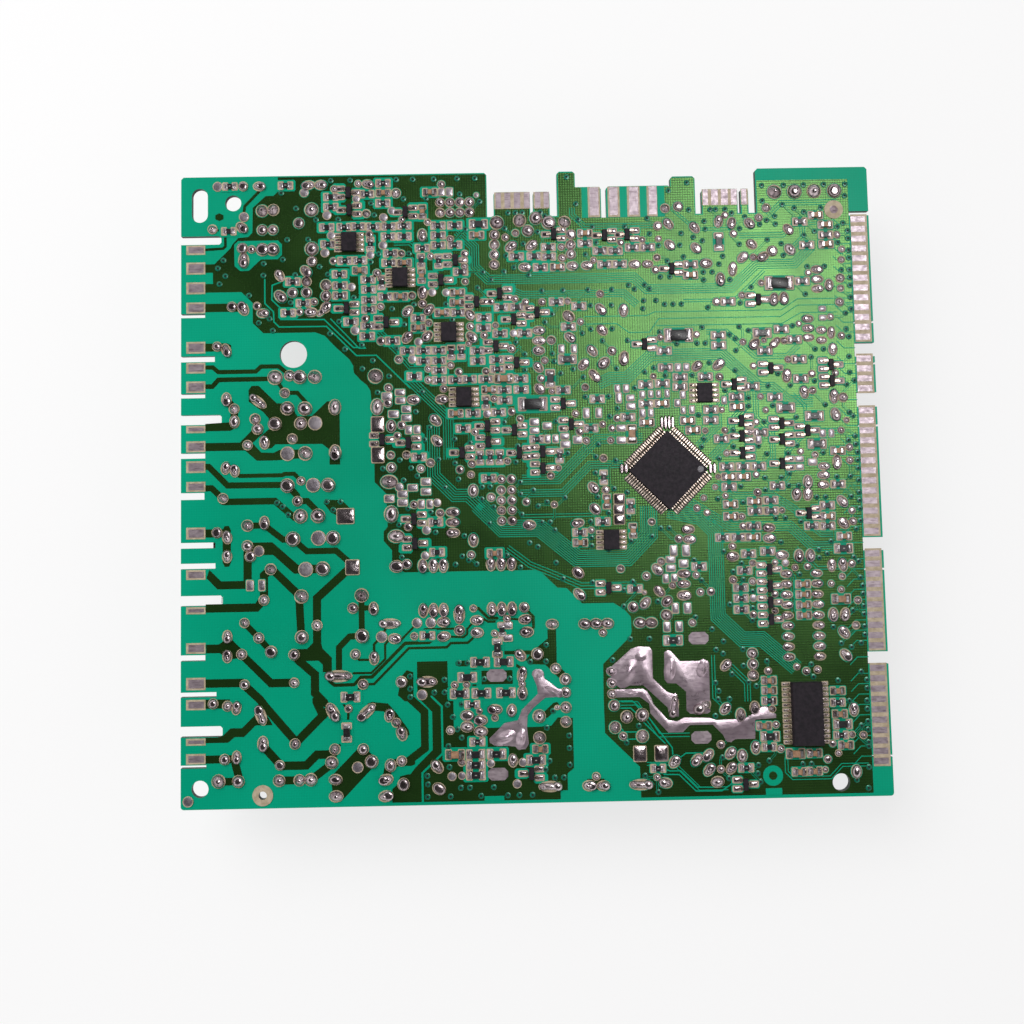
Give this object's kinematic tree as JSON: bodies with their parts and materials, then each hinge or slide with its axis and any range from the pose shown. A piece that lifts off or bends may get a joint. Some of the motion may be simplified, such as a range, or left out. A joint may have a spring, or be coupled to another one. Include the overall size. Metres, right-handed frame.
{
  "type": "boiler control board",
  "caption": "Printed circuit board of a boiler control: edge contacts on three sides, surface-mount parts and solder joints on one face, relays and other leaded parts on the other.",
  "frame": {"origin": "middle of the board's outline, on the surface that its tallest leaded parts stand on", "axes": "+X along the board's long side, +Y towards the edge with the tongues, +Z out of the solder face"},
  "size_m": [0.1736, 0.1564, 0.024],
  "materials": {
    "laminate": "green solder mask over laminate",
    "tin": "flat tinned copper",
    "bare": "bare laminate ring",
    "solder": "bright solder",
    "chip_black": "black chip resistor",
    "chip_brown": "brown chip capacitor",
    "package": "moulded package",
    "lead": "tinned lead",
    "relay_case": "relay case",
    "sleeve": "capacitor sleeve",
    "film": "film capacitor case",
    "axial_body": "axial part and its leads",
    "white_plastic": "connector housing",
    "black_plastic": "bobbin, base or header block",
    "ferrite": "ferrite",
    "winding": "enamelled winding",
    "tape": "winding tape",
    "sink": "extruded heat sink",
    "glass_tube": "fuse glass",
    "disc_blue": "dipped disc"
  },
  "bodies": {
    "root": {"board": "laminate", "contacts_left": "tin", "contacts_right": "tin", "contacts_top": "tin", "test_rings": "bare", "lug_pads": "tin", "tinning": "tin", "resistors_0805": "chip_black", "resistors_1206": "chip_black", "shunts": "chip_black", "capacitors_0805": "chip_brown", "capacitors_1206": "chip_brown", "transistors_sot": "package", "joints_round": "solder", "joints_long": "solder", "joint_lumps": "solder", "processor": "package", "processor_leads": "lead", "driver_so24": "package", "driver_so24_leads": "lead", "so8_bodies": "package", "so8_leads": "lead", "relay_1": "relay_case", "relay_2": "relay_case", "relay_3": "relay_case", "relay_4": "relay_case", "relay_5": "relay_case", "electrolytics_tall": "sleeve", "electrolytics": "sleeve", "film_capacitors": "film", "axial_parts": "axial_body", "transistors_leaded": "package", "optocouplers": "white_plastic", "optocoupler_leads": "lead", "driver_dip": "package", "driver_dip_leads": "lead", "header_blocks": "black_plastic", "header_pins": "lead", "row_connector": "white_plastic", "row_connector_pins": "lead", "fuse_glass": "glass_tube", "fuse_caps": "lead", "fuse_clips": "lead", "choke_base": "black_plastic", "choke_core": "ferrite", "choke_windings": "winding", "transformer_rails": "black_plastic", "transformer_core": "ferrite", "transformer_winding": "tape", "heat_sink_1": "sink", "heat_sink_2": "sink", "power_transistors": "package", "discs": "disc_blue", "varistor": "disc_blue"}
  },
  "joints": []
}
